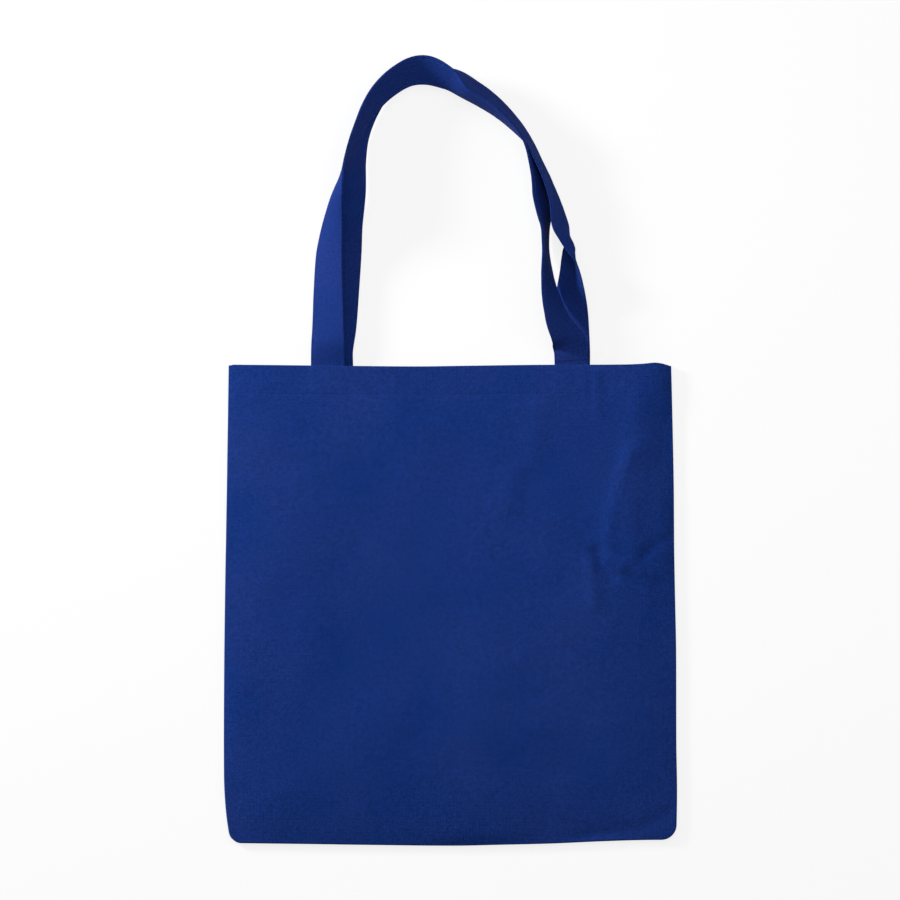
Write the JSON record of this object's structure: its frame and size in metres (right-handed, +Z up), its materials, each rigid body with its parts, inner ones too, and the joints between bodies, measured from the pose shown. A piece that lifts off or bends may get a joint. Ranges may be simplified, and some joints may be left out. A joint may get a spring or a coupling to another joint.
{
  "type": "non-woven shopping bag",
  "caption": "Flat tote of thin non-woven cloth lying on its back, with a turned-in hem at the mouth and a pair of twisted cloth strap handles.",
  "frame": {"origin": "middle of the back panel's underside, on the surface that the bag lies on", "axes": "+X across the bag to the right as seen from above, +Y from the bottom towards the mouth and the handles, +Z up out of the front panel"},
  "size_m": [0.3807, 0.6605, 0.0448],
  "materials": {
    "bag_cloth": "matte point-bonded non-woven cloth",
    "strap_cloth": "matte folded and stitched non-woven cloth"
  },
  "bodies": {
    "root": {"front_panel": "bag_cloth", "back_panel": "bag_cloth", "front_handle": "strap_cloth", "back_handle": "strap_cloth"}
  },
  "joints": []
}
